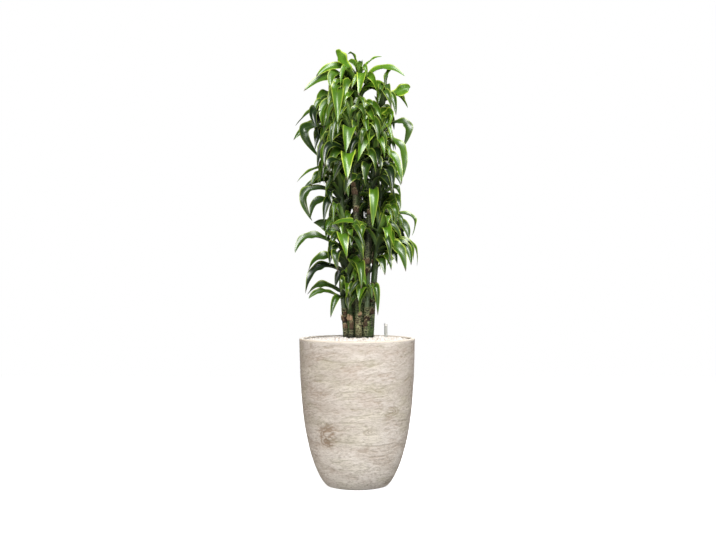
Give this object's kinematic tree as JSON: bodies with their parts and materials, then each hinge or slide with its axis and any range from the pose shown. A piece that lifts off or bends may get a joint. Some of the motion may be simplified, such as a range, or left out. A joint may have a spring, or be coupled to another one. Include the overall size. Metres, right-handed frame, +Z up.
{
  "type": "potted dracaena",
  "caption": "Tall indoor dracaena with ringed canes of stepped heights, crowns of arching lime-edged leaves, a rounded stone-look planter, clay granules and a water gauge.",
  "frame": {"origin": "centre of the planter's flat base, on the floor", "axes": "+Z up along the planter's axis; -Y towards the front, the side that the picture shows; +X to the right in the picture"},
  "size_m": [0.434, 0.4, 1.504],
  "materials": {
    "planter_stone": "matte",
    "clay_granules": "matte",
    "clear_plastic": "gloss",
    "red_plastic": "satin",
    "white_plastic": "satin",
    "cane_bark": "matte",
    "leaf_green": "satin"
  },
  "bodies": {
    "root": {"planter": "planter_stone", "granules": "clay_granules", "gauge_tube": "clear_plastic", "gauge_float": "red_plastic", "gauge_cap": "white_plastic", "cane_A": "cane_bark", "crown_A": "leaf_green", "cane_B": "cane_bark", "crown_B": "leaf_green", "cane_C": "cane_bark", "crown_C": "leaf_green", "cane_D": "cane_bark", "crown_D": "leaf_green", "cane_E": "cane_bark", "crown_E": "leaf_green", "cane_K": "cane_bark", "crown_K": "leaf_green", "cane_F": "cane_bark", "crown_F": "leaf_green", "cane_G": "cane_bark", "crown_G": "leaf_green", "cane_L": "cane_bark", "crown_L": "leaf_green", "cane_H": "cane_bark", "crown_H": "leaf_green", "cane_I": "cane_bark", "crown_I": "leaf_green", "cane_N": "cane_bark", "crown_N": "leaf_green", "cane_J": "cane_bark", "crown_J": "leaf_green", "cane_M": "cane_bark", "crown_M": "leaf_green"}
  },
  "joints": []
}
